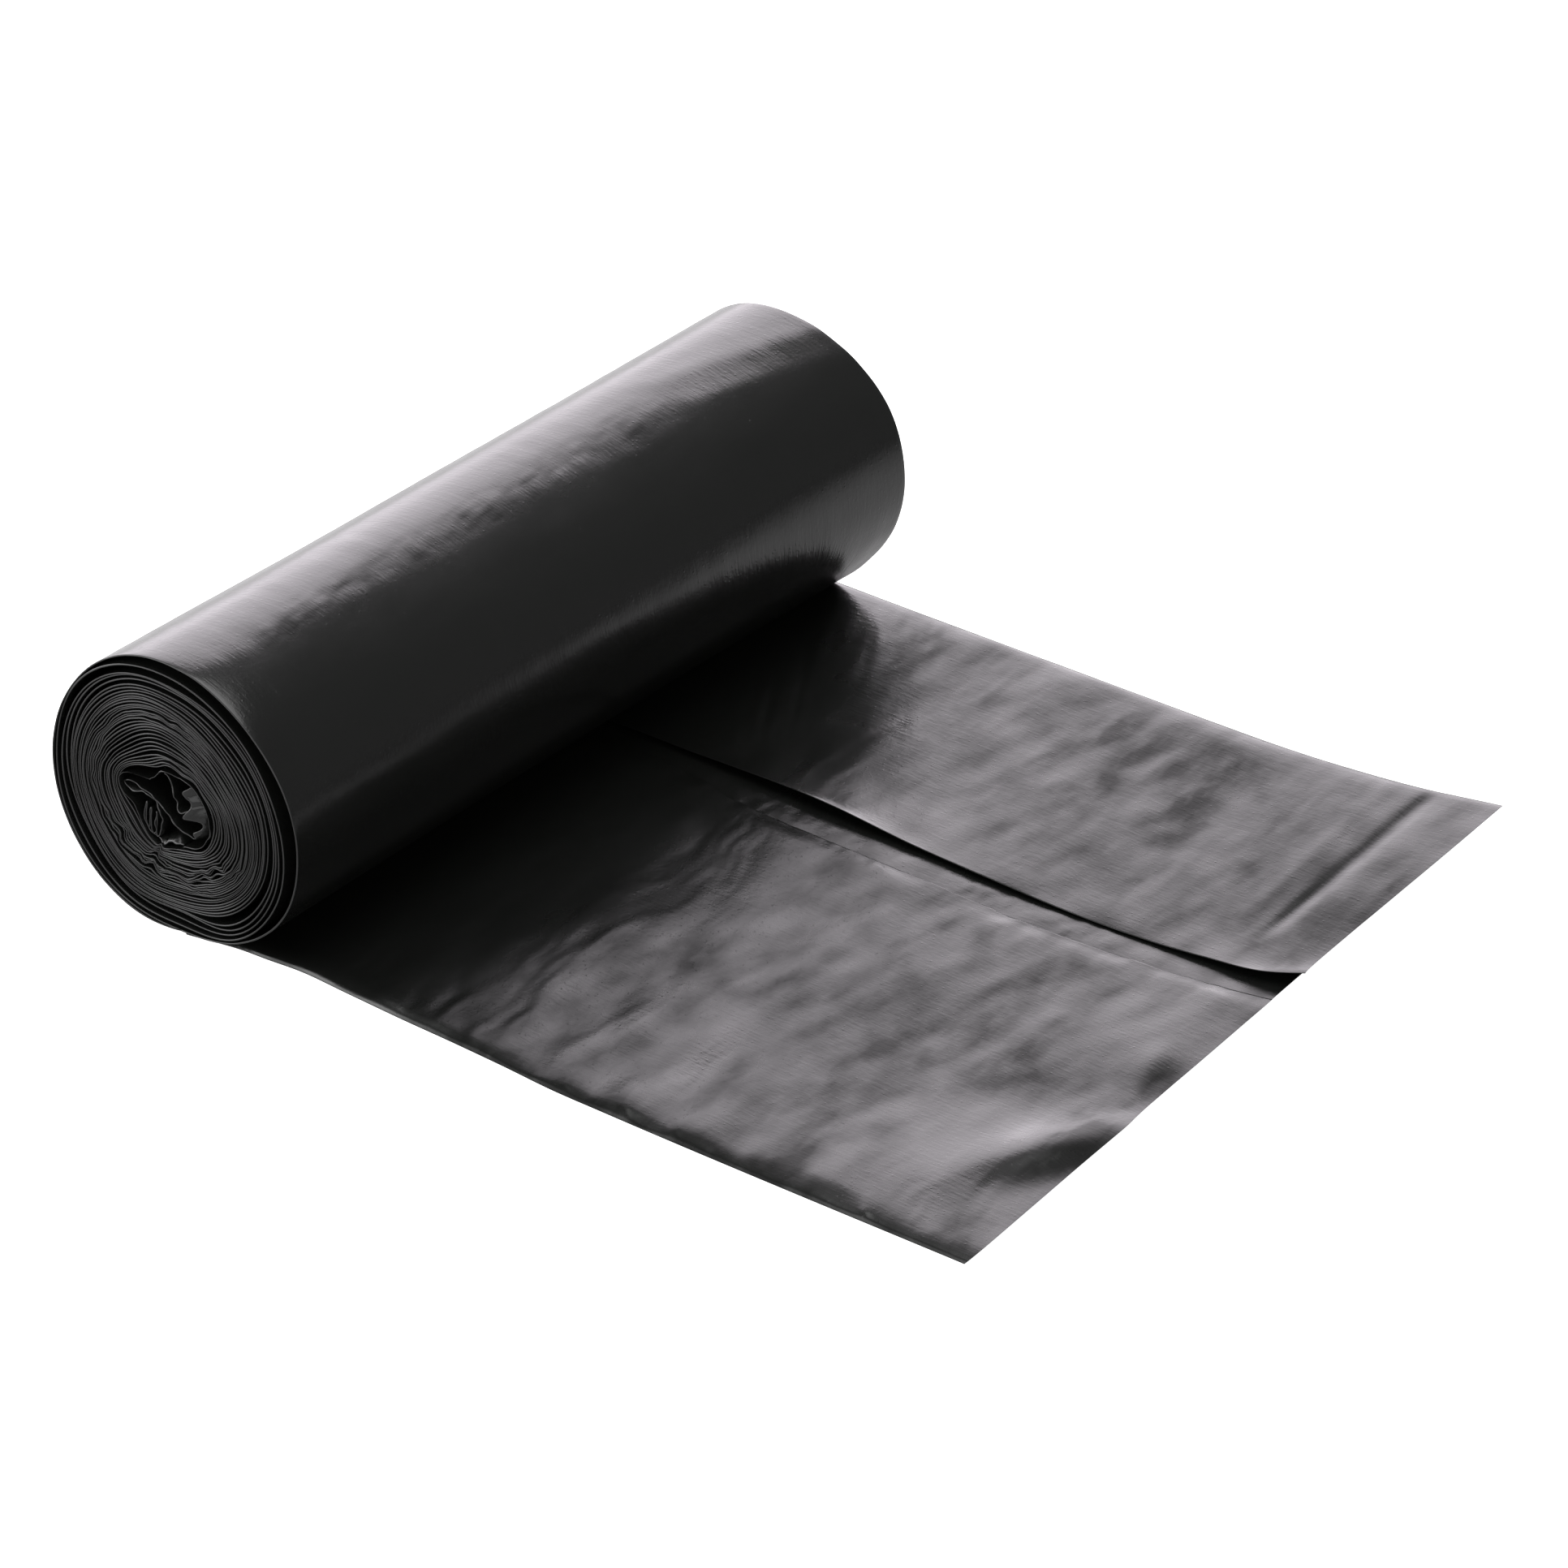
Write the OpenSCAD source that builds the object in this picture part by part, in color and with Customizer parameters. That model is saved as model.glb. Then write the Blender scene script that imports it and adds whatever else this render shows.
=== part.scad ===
// A part-used roll of refuse sacks, lying on a floor with its first sack drawn out as a flat tail.
//
// The roll is one continuous web of film. The sacks are a flat tube, folded in from both sides to
// the middle, so the web has a base panel below and two flaps on top with a narrow gap between
// them. The web is wound without a core: its outer turns are loose, its inner turns are tight and
// kinked round a hollow, and the ends are dished because the turns have slipped a little.
//
// X runs along the roll's axis, the tail leaves towards -Y and Z is up. The origin is on the floor
// under the middle of the axis.

/* [Web] */
// Width of the folded web, which is the length of the roll
web_w = 354; // [200:1:600]
// Thickness of the folded web where it is wound
web_t = 0.95; // [0.6:0.05:1.4]
// Thickness of one panel of the folded tail, which is two films
panel_t = 0.6; // [0.4:0.05:1]

/* [Roll] */
// Outer diameter of the roll
roll_d = 115.2; // [80:0.1:180]
// Share by which the roll is slimmer at its far end
slimming = 0.03; // [0:0.01:0.08]
// How far the soft roll has settled on its flat spot
settle = 2.2; // [0.5:0.1:5]
// Number of loose turns round the tight core
loose_turns = 5; // [1:1:8]
// Air between two loose turns
loose_gap = 1.1; // [0.3:0.1:2]
// Least air between two turns of the tight core
core_gap = 0.2; // [0.1:0.05:0.6]
// Mean width of the hollow in the middle
hollow_d = 23; // [14:0.5:40]
// Share by which the hollow is longer or shorter than its mean width
hollow_oval = 0.24; // [0:0.02:0.3]
// Depth of the slack under the outermost turn, at the lower front
slack = 2.6; // [0:0.1:4]
// How far the middle of each end lies back from the outermost turn
dish = 4.5; // [0:0.5:10]
// How far the edges of neighbouring turns stand in or out
ragged = 0.4; // [0:0.1:1]
// Direction in which the web's inner end leaves the last turn, counted from the bottom
inner_end_angle = 150; // [0:15:345]

/* [Tail] */
// Length of the tail, from under the axis to its cut edge at mid-width
tail_l = 344; // [150:1:700]
// How much further the cut edge reaches at the near side than at the far side
cut_skew = 15; // [-40:1:40]
// Width of the gap between the two flaps
flap_gap = 13; // [4:1:40]
// Distance of the gap's middle from the middle of the web
gap_offset = 30; // [-60:1:60]
// Height of the rounded fold along the near edge
near_fold_h = 3.2; // [2.2:0.1:8]
// Height of the rounded fold along the far edge
far_fold_h = 5; // [2.2:0.1:8]
// Height of a flap's free edge where it lies low
flap_edge_h = 2.2; // [2:0.1:6]
// How far the far flap's free edge stands above the near one
flap_lift = 4.5; // [0:0.5:8]
// Height to which the far corner of the cut edge curls up
curl_h = 14.5; // [0:0.5:30]
// Length of the curl along the tail
curl_l = 110; // [40:5:200]
// Width of the curl across the tail
curl_w = 130; // [60:5:250]

/* [Hidden] */

film_colour = [0.07, 0.07, 0.075];

// The roll: a circle that has sunk into the floor by the settling
roll_r = roll_d / 2;
axis_z = roll_r - settle;
flat_half = sqrt(roll_r * roll_r - axis_z * axis_z);

// The winding: each turn lies one pitch inside the turn before it
loose_pitch = web_t + loose_gap;
core_r = roll_r - loose_turns * loose_pitch;
core_turns = floor((core_r - hollow_d / 2) / (web_t + core_gap));
core_pitch = (core_r - hollow_d / 2) / core_turns;
all_turns = loose_turns + core_turns;
last_turn = all_turns - 1 + inner_end_angle / 360;
fill = 0.84;             // largest share of a pitch that the web may take up
slack_at = 315;          // lower front, as an angle counted from the bottom
tongue_reach = 0.5;      // of the inner end past the hollow's middle, in hollow radii
bend_r = 0.3;            // inside radius of the bend where the inner end leaves the last turn

// Straight steps in each turn: few in the middle, where the film is kinked
outer_steps = 36;
inner_steps = 18;
fine_turns = loose_turns + 5;

// The tail: its panels are pressed together under the roll and open beyond it
press_gap = 0.3;
press_y = -flat_half - 5;
tail_rings = 15;
ring_crowding = 1.7;
flap_points = 5;
fold_points = 4;
line_points = 4 * flap_points + 2 * fold_points;

function clamp(x, low, high) = max(low, min(high, x));
function ease(x) = let (s = clamp(x, 0, 1)) s * s * (3 - 2 * s);
function reverse(list) = [for (i = [len(list) - 1 : -1 : 0]) list[i]];
function unit(v) = v / norm(v);
function span(from, to, n) = [for (i = [0 : n - 1]) from + (to - from) * i / (n - 1)];

// Roll

// Radius of the web's outer face after u turns, for a round winding
function turn_radius(u) = u < loose_turns
    ? roll_r - loose_pitch * u
    : core_r - core_pitch * (u - loose_turns);

// Share by which a turn departs from round at angle a: the slack dents every turn but the
// outermost, and the hollow's kinked oval fades out towards the roll's surface
function slack_share(a, u) = -slack / roll_r * min(u, 1) * pow(max(0, cos(a - slack_at)), 2);
function hollow_share(a, u) = pow(u / all_turns, 3)
    * hollow_oval * (cos(2 * a - 40) + 0.35 * cos(3 * a + 50) + 0.2 * cos(7 * a));

// Height of the pile of turns under the flat spot after u turns
function pile(u) = (web_t + core_gap) * (floor(u) + ease((u - floor(u) - 0.5) / 0.4));

// Point on the outer face after u turns: up the back, over the top and down the front
function outer_face(u) = let (
        a = 360 * u,
        r = turn_radius(u) * (1 + slack_share(a, u) + hollow_share(a, u))
    ) [r * sin(a), max(axis_z - r * cos(a), pile(u))];

// Point on the inner face, one web thickness towards the next turn
function inner_face(u) = let (step = outer_face(u + 1) - outer_face(u))
    outer_face(u) + unit(step) * min(web_t, fill * norm(step));

// Half the web's width after u turns, which the slip of the turns makes less in the middle
function half_width(u) = web_w / 2 - dish * pow(u / all_turns, 0.6)
    - ragged * min(u, 1) * (1 - cos(360 * 0.37 * u));

// The four corners of the web's section, seen along the web: near and far on the outer face,
// then far and near on the inner face
function corners(outer, inner, half) = let (slim = 1 - slimming) [
        [-half, outer[0], outer[1]], [half, outer[0] * slim, outer[1] * slim],
        [half, inner[0] * slim, inner[1] * slim], [-half, inner[0], inner[1]]
    ];

turn_stops = [
        each [for (i = [0 : fine_turns * outer_steps - 1]) i / outer_steps],
        each [for (i = [fine_turns * inner_steps : ceil(last_turn * inner_steps - 0.6)])
            i / inner_steps]
    ];

// The web's inner end, a short strip that crosses the hollow
hollow_middle = [0, axis_z];
last_stop = turn_stops[len(turn_stops) - 1];
tongue_run = unit(hollow_middle - outer_face(last_stop));
tongue_tip = hollow_middle + tongue_run * tongue_reach * hollow_d / 2 * (1 - hollow_oval);
tongue_side = [tongue_run[1], -tongue_run[0]] * web_t;
end_half = half_width(last_stop);

wound_rings = [
        for (u = turn_stops) corners(outer_face(u), inner_face(u), half_width(u)),
        corners(outer_face(last_stop) + tongue_side,
            inner_face(last_stop) + tongue_side / 4 + tongue_run * bend_r, end_half),
        corners(tongue_tip + tongue_side / 2, tongue_tip - tongue_side / 2, end_half)
    ];

// Tail

// Height of the roll's underside above the floor, and of what may lie under it
function under_roll(y) = abs(y) < roll_r ? axis_z - sqrt(roll_r * roll_r - y * y) : roll_d;
function pressed(h, y) = y >= press_y ? web_t : max(web_t, min(h, under_roll(y) - press_gap));

// Lift of the whole film at the curled far corner
function curl(x, y) = curl_h * ease((x - web_w / 2 + curl_w) / curl_w)
    * pow(clamp((curl_l - tail_l - y) / curl_l, 0, 1.2), 2);

// One fold in section: an arc of radius r about the middle of a fold of height h
function fold(x, h, r, from, to) = [for (a = span(from, to, fold_points))
    [x + r * cos(a), h / 2 + r * sin(a)]];

// One flap in section, from its free edge at x = from to the fold at x = to
function flap(from, to, edge_h, fold_h) = [for (s = span(0, 1, flap_points))
    [from + (to - from) * s, edge_h + (fold_h - edge_h) * ease(s)]];

function lowered(line, d) = [for (p = line) [p[0], p[1] - d]];
function laid(line, d) = [for (p = line) [p[0], d]];

// The folded film in section at place y, a depth d in from its outer side: near flap, near fold,
// base panel, far fold and far flap
function film_line(y, d) = let (
        near_h = pressed(near_fold_h, y),
        far_h = pressed(far_fold_h, y),
        near_x = -web_w / 2 + near_h / 2,
        far_x = web_w / 2 - far_h / 2,
        near_flap = flap(gap_offset - flap_gap / 2, near_x, pressed(flap_edge_h, y), near_h),
        far_flap = flap(gap_offset + flap_gap / 2, far_x,
            pressed(flap_edge_h + flap_lift, y), far_h)
    ) concat(
        lowered(near_flap, d),
        fold(near_x, near_h, near_h / 2 - d, 108, 252),
        laid(concat(reverse(near_flap), far_flap), d),
        fold(far_x, far_h, far_h / 2 - d, -72, 72),
        lowered(reverse(far_flap), d)
    );

// One ring of the tail, outer side first: t is 0 under the roll and 1 at the cut edge
function tail_ring(t) = let (
        y = press_y - (tail_l + press_y) * pow(t, ring_crowding),
        d = min(panel_t, pressed(near_fold_h, y) / 3)
    ) [for (p = concat(film_line(y, 0), film_line(y, d)))
        [p[0], y + cut_skew * t * p[0] / web_w, p[1] + curl(p[0], y)]];

// Faces

// Two triangles that fill the patch with corners a, b, c and d
function patch(a, b, c, d) = [[a, c, b], [a, d, c]];

// Skin between two rings of four corners, the first of which starts at point at
function wound_skin(at) = [for (j = [0 : 3]) let (k = (j + 1) % 4)
    each patch(at + j, at + 4 + j, at + 4 + k, at + k)];

// Skin of the outer and inner sides and of both free edges between two rings of the tail
function tail_skin(at) = let (m = line_points, next = 2 * m) [
        for (j = [0 : m - 2]) each patch(at + j, at + j + 1, at + next + j + 1, at + next + j),
        for (j = [m : 2 * m - 2]) each patch(at + j + 1, at + j, at + next + j, at + next + j + 1),
        each patch(at + m, at, at + next, at + next + m),
        each patch(at + m - 1, at + 2 * m - 1, at + next + 2 * m - 1, at + next + m - 1)
    ];

// End of the slit between the panels, under the roll
function slit_end(m) = let (
        near_base = m + flap_points + fold_points,
        last = 2 * m - 1,
        far_base = near_base + 2 * flap_points - 1
    ) [
        for (k = [0 : flap_points - 2]) each concat(
            patch(m + k, m + k + 1, near_base + flap_points - 2 - k, near_base + flap_points - 1 - k),
            patch(last - k - 1, last - k, near_base + flap_points + k,
                near_base + flap_points + k + 1)),
        for (k = [m + flap_points - 1 : near_base - 2]) [k + 1, k, near_base],
        for (k = [far_base + 1 : last - flap_points]) [k + 1, k, far_base],
        each patch(last, m, near_base + flap_points - 1, near_base + flap_points),
        each patch(m - 1, 0, m, last)
    ];

// Corner of the first wound ring that the tail's outer point j runs into: near flap, near half of
// the base, far half of the base or far flap
function corner_of(j) = let (half_fold = fold_points / 2)
    j < flap_points + half_fold ? 3
    : j < 2 * flap_points + fold_points ? 0
    : j < 3 * flap_points + fold_points + half_fold ? 1 : 2;

// Skin between the pressed end of the tail and the first wound ring, which starts at point at
function press_skin(at) = [for (j = [0 : line_points - 1]) let (
        next = (j + 1) % line_points,
        corner = corner_of(j),
        before = corner_of((j + line_points - 1) % line_points)
    ) each concat(
        [[j, next, at + corner]],
        corner == before ? [] : [[at + before, j, at + corner]])];

module bag_roll() {
    tail = [for (i = [0 : tail_rings]) tail_ring(i / tail_rings)];
    m = line_points;
    cut = tail_rings * 2 * m;
    start = cut + 2 * m;
    inner_end = start + 4 * (len(wound_rings) - 1);
    points = [for (ring = concat(tail, wound_rings)) each ring];
    faces = [
        for (i = [0 : tail_rings - 1]) each tail_skin(i * 2 * m),
        for (j = [0 : m - 2]) each patch(cut + j, cut + j + 1, cut + m + j + 1, cut + m + j),
        each slit_end(m),
        each press_skin(start),
        for (i = [0 : len(wound_rings) - 2]) each wound_skin(start + 4 * i),
        each patch(inner_end + 3, inner_end + 2, inner_end + 1, inner_end)
    ];
    color(film_colour) polyhedron(points, faces);
}

bag_roll();
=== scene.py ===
# %% [markdown]
# # A part-used roll of refuse sacks
#
# The object is one long web of thin black film: a flat sack tube, folded in from both sides to the
# middle and wound up without a core. The first sack is drawn out over the floor. This script
# loads the roll as it was built to size, and then remakes its skin as film: a folded tail with
# slack in it, a smooth outermost turn, the ends of some thirty inner turns, and the crumpled film
# in the hollow.
#
# All shapes are worked out in millimetres as numpy arrays and are turned into metres when they
# become meshes. X runs along the roll, the tail leaves towards -Y, and Z is up.

# %% Load the roll as built
import math

import bpy
import numpy as np
from mathutils import Matrix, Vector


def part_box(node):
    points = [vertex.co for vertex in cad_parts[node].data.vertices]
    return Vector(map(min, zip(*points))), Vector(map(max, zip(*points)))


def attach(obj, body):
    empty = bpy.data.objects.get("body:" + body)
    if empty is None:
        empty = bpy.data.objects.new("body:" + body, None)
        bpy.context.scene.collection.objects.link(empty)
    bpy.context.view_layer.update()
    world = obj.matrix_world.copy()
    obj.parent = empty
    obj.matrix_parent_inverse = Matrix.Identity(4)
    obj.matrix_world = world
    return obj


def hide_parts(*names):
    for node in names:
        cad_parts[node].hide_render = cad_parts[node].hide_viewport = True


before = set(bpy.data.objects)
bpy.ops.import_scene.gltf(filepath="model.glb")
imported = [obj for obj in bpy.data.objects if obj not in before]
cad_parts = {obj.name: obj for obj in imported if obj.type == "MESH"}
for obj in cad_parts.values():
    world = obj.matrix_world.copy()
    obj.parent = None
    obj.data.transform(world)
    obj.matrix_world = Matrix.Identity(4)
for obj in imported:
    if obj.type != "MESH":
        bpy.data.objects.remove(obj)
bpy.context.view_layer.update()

MM = 0.001
node_low, node_high = (np.array(corner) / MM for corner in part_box("bag_roll"))
NEAR, FAR = node_low[0], node_high[0]
WEB_W = FAR - NEAR
print("web", round(WEB_W, 1), "mm wide, tail reaches", round(-node_low[1], 1), "mm")

# %% [markdown]
# ## Camera
#
# A long lens looks down at thirty degrees, across the near end of the roll and along its axis. The
# camera is given by the point that it looks at, its distance and two angles, and is placed first,
# so that every later piece can be judged in its picture.

# %% Place the camera
AIM = np.array([44.3, -101.5, 0.0])
DISTANCE = 3743.3
AZIMUTH, ELEVATION, TILT = np.radians([-52.157, 29.896, 0.26])
LENS = 233.04
SENSOR = 36


def camera_axes(azimuth, elevation, tilt):
    """Right, up and backward directions: back points from the aim to the camera, right lies
    level, and tilt turns right and up about back."""
    back = np.array([math.sin(azimuth) * math.cos(elevation),
                     -math.cos(azimuth) * math.cos(elevation), math.sin(elevation)])
    level = np.array([math.cos(azimuth), math.sin(azimuth), 0.0])
    upright = np.cross(back, level)
    right = math.cos(tilt) * level + math.sin(tilt) * upright
    return right, np.cross(back, right), back


def place_camera():
    """Place the long lens by its aim, distance and angles."""
    right, up, back = camera_axes(AZIMUTH, ELEVATION, TILT)
    camera = bpy.data.objects.new("camera", bpy.data.cameras.new("camera"))
    camera.data.lens, camera.data.sensor_width = LENS, SENSOR
    camera.data.clip_end = 100
    turn = Matrix([[*row, 0] for row in np.column_stack([right, up, back])] + [[0, 0, 0, 1]])
    camera.matrix_world = Matrix.Translation((AIM + back * DISTANCE) * MM) @ turn
    bpy.context.scene.collection.objects.link(camera)
    bpy.context.scene.camera = camera


place_camera()

# %% [markdown]
# ## Helpers for shapes
#
# Every piece is a grid of points. A grid may be closed into a tube across its columns, and its two
# ends may be capped. Smooth curves run through a few readings, and slack film gets a smooth random
# field made of cosine waves, drawn from one seeded source so that each run is the same.

# %% Curves, fields and meshes
rng = np.random.default_rng(7)


def ease(x):
    """0 below 0, 1 above 1, and 3x^2 - 2x^3 between."""
    s = np.clip(x, 0, 1)
    return s * s * (3 - 2 * s)


def peak(x):
    """A rounded hump of height 1 and half width 1: the exponential of -x^2."""
    return np.exp(-x * x)


def through(where, knots, values):
    """A smooth curve through readings: on each stretch a cubic, whose slopes at both ends are the
    average slopes of the readings there. It stays level beyond the first and last reading."""
    knots, values = np.asarray(knots, float), np.asarray(values, float)
    slopes = np.gradient(values, knots)
    i = np.clip(np.searchsorted(knots, where, side="right") - 1, 0, len(knots) - 2)
    step = knots[i + 1] - knots[i]
    f = np.clip((where - knots[i]) / step, 0, 1)
    return ((1 + 2 * f) * (1 - f) ** 2 * values[i] + f * (1 - f) ** 2 * step * slopes[i]
            + f * f * (3 - 2 * f) * values[i + 1] + f * f * (f - 1) * step * slopes[i + 1])


def field(p, q, p_size, q_size, waves=28):
    """Smooth random field with unit spread: a sum of cosine waves in random directions, about
    p_size across along p and q_size across along q."""
    total = 0.0
    for _ in range(waves):
        angle, phase = rng.uniform(0, 2 * np.pi, 2)
        size = rng.uniform(0.7, 1.6)
        along = np.cos(angle) * p / p_size + np.sin(angle) * q / q_size
        total = total + np.cos(2 * np.pi * along / size + phase)
    return total * math.sqrt(2 / waves)


def grid_faces(rows, columns, closed, start=0):
    """Quads between neighbouring rows and columns of a grid, the last column joined to the first
    where the grid is closed."""
    row, column = np.meshgrid(np.arange(rows - 1), np.arange(columns - (not closed)), indexing="ij")
    after = (column + 1) % columns
    here, there = start + row * columns, start + (row + 1) * columns
    return np.stack([here + column, here + after, there + after, there + column], -1).reshape(-1, 4)


def make_piece(name, points, quads, caps=()):
    """A mesh object at the origin from points in millimetres, smooth quads and flat end caps."""
    mesh = bpy.data.meshes.new(name)
    faces = [tuple(face) for face in quads.tolist()] + [tuple(cap) for cap in caps]
    mesh.from_pydata((points.reshape(-1, 3) * MM).tolist(), [], faces)
    mesh.polygons.foreach_set("use_smooth", np.arange(len(faces)) < len(quads))
    mesh.update()
    piece = bpy.data.objects.new(name, mesh)
    bpy.context.scene.collection.objects.link(piece)
    triangles = 2 * len(quads) + sum(len(cap) - 2 for cap in caps)
    print(name, len(mesh.vertices), "points,", triangles, "triangles")
    return piece


# %% [markdown]
# ## How the web is wound
#
# The winding starts on the floor under the roll, climbs the back, goes over the top and comes down
# the front, each turn inside the turn before. In section it is one curve, so it is given as one:
# the radius at every thirty degrees of a few turns, with the turns between spaced evenly. The two
# outermost turns are pressed together at the back and stand apart at the front. Further in, some
# turns cling together and others stand apart, and creases run through a few turns at a time. The
# last turn has its own outline, because it bounds a hollow that lies low at the back.

# %% Radius of the web along its winding
TURNS = 34
STEPS = 150              # straight steps in each turn
NEAR_MIDDLE, FAR_MIDDLE = (1.9, 55.25), (0.0, 57.05)   # y and z of the winding's middle
READ_STEP = 30
TURN_READINGS = {   # radius at 0, 30 ... 330 degrees from the bottom, up the back
    0: (55.0, 57.2, 57.9, 58.2, 57.4, 57.2, 56.0, 55.5, 56.4, 57.4, 58.6, 56.5),
    1: (53.8, 56.2, 56.9, 57.0, 56.6, 54.7, 50.2, 47.3, 47.4, 49.7, 53.5, 54.9),
    2: (51.4, 54.2, 54.5, 54.6, 53.6, 51.0, 45.9, 44.4, 44.5, 46.8, 51.0, 53.3),
    3: (49.2, 51.2, 51.3, 52.2, 52.2, 50.2, 45.1, 43.6, 43.7, 46.0, 49.3, 51.5),
    4: (46.6, 49.9, 50.2, 50.3, 50.6, 48.5, 43.8, 42.4, 42.6, 44.6, 47.6, 49.4),
    5: (45.9, 49.2, 49.6, 49.6, 48.6, 46.0, 40.9, 38.8, 39.2, 41.8, 44.2, 45.6),
    9: (42.5, 46.4, 46.8, 46.8, 44.4, 41.0, 35.5, 31.4, 31.6, 36.4, 40.2, 41.4),
    14: (38.8, 42.8, 44.0, 44.1, 40.2, 36.4, 30.8, 28.0, 28.3, 32.6, 36.8, 37.8),
    15: (38.1, 41.6, 42.5, 42.6, 39.0, 35.4, 30.0, 27.2, 27.5, 31.9, 36.1, 37.0),
    18: (36.0, 39.6, 40.6, 40.8, 36.6, 32.4, 27.4, 24.6, 25.0, 29.6, 34.0, 34.6),
    22: (33.0, 36.2, 38.0, 38.2, 31.6, 27.4, 22.6, 20.4, 20.8, 25.6, 30.8, 31.4),
    25: (29.8, 32.6, 34.2, 34.6, 26.6, 22.6, 18.4, 16.8, 17.6, 22.2, 27.4, 28.2),
    28: (26.6, 29.4, 30.4, 31.0, 21.8, 17.4, 13.8, 13.4, 14.6, 18.8, 23.4, 24.6),
    33: (21.8, 26.6, 25.8, 28.9, 14.6, 11.8, 8.9, 9.2, 9.8, 13.0, 16.6, 20.6),
    34: (20.8, 25.9, 24.9, 28.2, 13.2, 10.2, 7.6, 7.9, 8.4, 11.5, 15.0, 19.5)}
HOLLOW = {0: 20.5, 10: 22.5, 20: 25.5, 31: 26.4, 45: 26.2, 58: 25.0, 68: 25.2, 76: 28.0, 83: 29.6,
          90: 28.4, 95: 25.6, 97: 22.8, 99: 17.0, 104: 14.6, 117: 12.8, 131: 12.4, 139: 11.0,
          150: 9.4, 158: 8.4, 180: 7.6, 210: 7.9, 240: 8.4, 255: 9.5, 270: 11.0, 285: 12.8,
          300: 15.2, 308: 17.3, 318: 17.8, 330: 19.3, 345: 20.2}
FAR_RIM = {0: 57.0, 60: 55.8, 120: 55.0, 155: 54.2, 180: 52.6, 206: 52.8, 221: 53.8, 238: 55.4,
           266: 56.0, 289: 55.9, 315: 56.4, 332: 58.4, 345: 57.6}
CREASED = (   # zones of creases: degrees from, to; turns from, to; number; height
    (-60, 66, 17, 26, 60, 1.5), (66, 112, 17, 23, 14, 0.8), (115, 215, 14, 18, 20, 0.6),
    (0, 360, 8, 31, 40, 0.2))
LEAST_STEP = 0.43        # of the radius from one turn to the next, where the turns are pressed
FIRST_CLOSE_TURN = 5     # the turns outside it stand as they were read


def around(angle, readings):
    """A closed smooth curve through readings of radius against angle in degrees."""
    angles = np.array(sorted(readings), float)
    radii = np.array([readings[a] for a in sorted(readings)], float)
    knots = np.concatenate([angles - 360, angles, angles + 360])
    return through(angle % 360, knots, np.tile(radii, 3))


def spread_readings():
    """Readings of every turn: those between two read turns lie evenly between them."""
    read = sorted(TURN_READINGS)
    columns = np.array([TURN_READINGS[turn] for turn in read]).T
    rows = np.array([np.interp(np.arange(TURNS + 1), read, column) for column in columns]).T
    return np.vstack([rows, rows[-1] - 1])


def clinging(u):
    """Waves of radius that bring a few turns together and part the next ones: each wave repeats
    over three to eight turns and drifts slowly round the roll."""
    total = 0.0
    for _ in range(14):
        lobes, turns, phase = rng.integers(0, 6), rng.uniform(3, 8), rng.uniform(0, 2 * np.pi)
        total = total + np.cos(2 * np.pi * (lobes + 1 / turns) * u + phase)
    return total / math.sqrt(7)


def draw_creases():
    """Creases: each has an angle, a turn, a half width in degrees, a height and a reach in
    turns."""
    rows = []
    for start, end, first, last, count, height in CREASED:
        rows.append(np.stack([rng.uniform(start, end, count), rng.uniform(first, last, count),
                              rng.uniform(2.5, 7, count), rng.normal(0, height, count),
                              rng.uniform(0.9, 2.2, count)], -1))
    return np.vstack(rows)


def wind_radii():
    """Radius at each step of the winding: the smooth curve through the readings, the clinging of
    the turns, tent-shaped creases, and the hollow's outline on the last turn. Every turn then
    keeps at least the least step inside the turn before."""
    u = np.arange((TURNS + 1) * STEPS + 1) / STEPS
    angle = 360 * u % 360
    table = spread_readings().ravel()
    radius = through(u * 360 / READ_STEP, np.arange(len(table)), table)
    radius = radius + 0.14 * clinging(u) * ease((u - 3) / 3) * ease((TURNS - u) / 3)
    for at, turn, half, height, reach in draw_creases():
        away = np.abs((angle - at + 180) % 360 - 180)
        radius = radius + height * np.clip(1 - away / half, 0, 1) * peak((u - turn) / reach)
    radius = radius + ease((u - TURNS + 1) / 0.04) * (around(angle, HOLLOW) - radius) * (u < TURNS)
    for turn in range(FIRST_CLOSE_TURN, TURNS + 2):
        inner, outer = radius[turn * STEPS:][:STEPS], radius[(turn - 1) * STEPS:]
        inner[:] = np.minimum(inner, outer[:len(inner)] - LEAST_STEP)
    return radius


WOUND = wind_radii()


def web_radius(u):
    """Radius of the web's outer face at the near end after u turns."""
    return np.interp(u * STEPS, np.arange(len(WOUND)), WOUND)


FILM_T = 0.75            # web of four films
FILL = 0.8               # largest share of the spacing that the web takes up


def web_depth(u):
    """Thickness of the wound web after u turns."""
    return np.clip(FILL * (web_radius(u) - web_radius(u + 1)), 0.12, FILM_T)


def web_point(u, x, depth, lift=0.0):
    """Point after u turns at x along the roll: on the circle of the web's radius about a middle
    that moves from one end to the other, less the depth, plus the lift."""
    angle = np.radians(360 * u)
    t = (x - NEAR) / WEB_W
    near_rim = web_radius(u % 1)
    far_share = around(360 * u, FAR_RIM) / near_rim
    radius = web_radius(u) * (1 + t * (far_share - 1)) - depth + lift
    y = NEAR_MIDDLE[0] + t * (FAR_MIDDLE[0] - NEAR_MIDDLE[0]) + radius * np.sin(angle)
    z = NEAR_MIDDLE[1] + t * (FAR_MIDDLE[1] - NEAR_MIDDLE[1]) - radius * np.cos(angle)
    return np.stack(np.broadcast_arrays(x, y, np.maximum(z, depth)), -1)


print("hollow", round(float(web_radius(np.array(33.75)) + web_radius(np.array(33.25))), 1),
      "mm across at mid height")

# %% [markdown]
# ## Ends of the turns
#
# The turns have slipped a little, so the ends are dished and ragged, and the near edge is drawn in
# where the film runs out to the tail. Each end of a turn is a fold, so it is rounded.

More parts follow.
